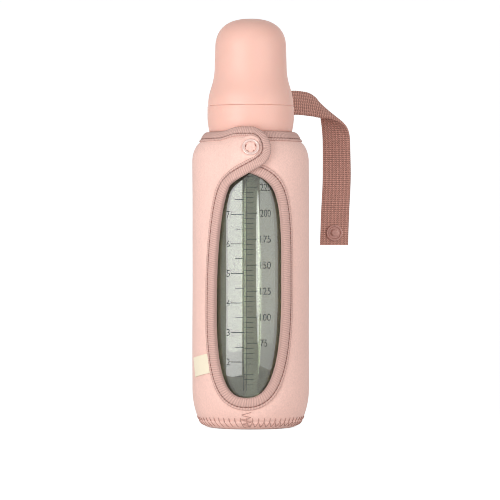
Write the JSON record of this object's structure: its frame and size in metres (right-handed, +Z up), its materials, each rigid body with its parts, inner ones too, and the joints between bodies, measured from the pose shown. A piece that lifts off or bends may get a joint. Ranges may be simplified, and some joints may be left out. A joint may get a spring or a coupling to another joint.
{
  "type": "baby bottle",
  "caption": "Glass feeding bottle with teat, screw collar and dust cap in a neoprene carry sleeve with an oval window, a press-stud flap and a webbing strap.",
  "frame": {"origin": "centre of the base, on the surface that the bottle stands on", "axes": "+Z up along the bottle's axis, -Y out of the sleeve's window, +X to the right as seen from the front"},
  "size_m": [0.0835, 0.0894, 0.2118],
  "materials": {
    "clear_glass": "clear borosilicate glass with a faint grey-green tint and printed scale",
    "teat_rubber": "soft translucent rubber",
    "pink_plastic": "matte moulded plastic, powder pink",
    "neoprene": "smooth jersey-faced neoprene, powder pink",
    "binding_tape": "fine ribbed binding tape with a stitched edge",
    "webbing": "ribbed webbing, dusty rose",
    "stud_rose": "satin enamelled press stud, rose grey",
    "strap_stud": "satin enamelled press stud, dusty rose",
    "label_cloth": "soft woven cotton label, cream"
  },
  "bodies": {
    "bottle": {"glass_bottle": "clear_glass", "sleeve_panel": "neoprene", "sleeve_base": "neoprene", "edge_binding": "binding_tape", "tongue_snap_stud": "stud_rose", "tongue_snap_ring": "stud_rose", "strap_anchor": "webbing", "anchor_snap_socket": "strap_stud", "anchor_snap_ring": "strap_stud", "side_label": "label_cloth"},
    "teat": {"teat": "teat_rubber"},
    "collar": {"screw_collar": "pink_plastic"},
    "cap": {"dust_cap": "pink_plastic"},
    "flap": {"flap": "neoprene", "flap_binding": "binding_tape", "flap_snap_ring": "stud_rose", "flap_snap_socket": "stud_rose"},
    "strap": {"strap": "webbing", "strap_snap_stud": "strap_stud", "strap_snap_cap": "strap_stud"}
  },
  "joints": [
    {"name": "collar_lift", "type": "slide", "parent": "bottle", "child": "teat", "axis": [0, 0, 1], "range_m": [0, 0.06]},
    {"name": "ring_turn", "type": "hinge", "parent": "teat", "child": "collar", "pos_m": [0, 0, 0.16], "axis": [0, 0, 1], "range_deg": [0, 540]},
    {"name": "cap_lift", "type": "slide", "parent": "collar", "child": "cap", "axis": [0, 0, 1], "range_m": [0, 0.06]},
    {"name": "flap_open", "type": "hinge", "parent": "bottle", "child": "flap", "pos_m": [-0.01023, -0.02824, 0.14282], "axis": [-0.1053, -0.2905, -0.9511], "range_deg": [0, 100]},
    {"name": "strap_swing", "type": "hinge", "parent": "bottle", "child": "strap", "pos_m": [0, 0.0318, 0.14015], "axis": [-1, 0, 0], "range_deg": [0, 95]}
  ]
}
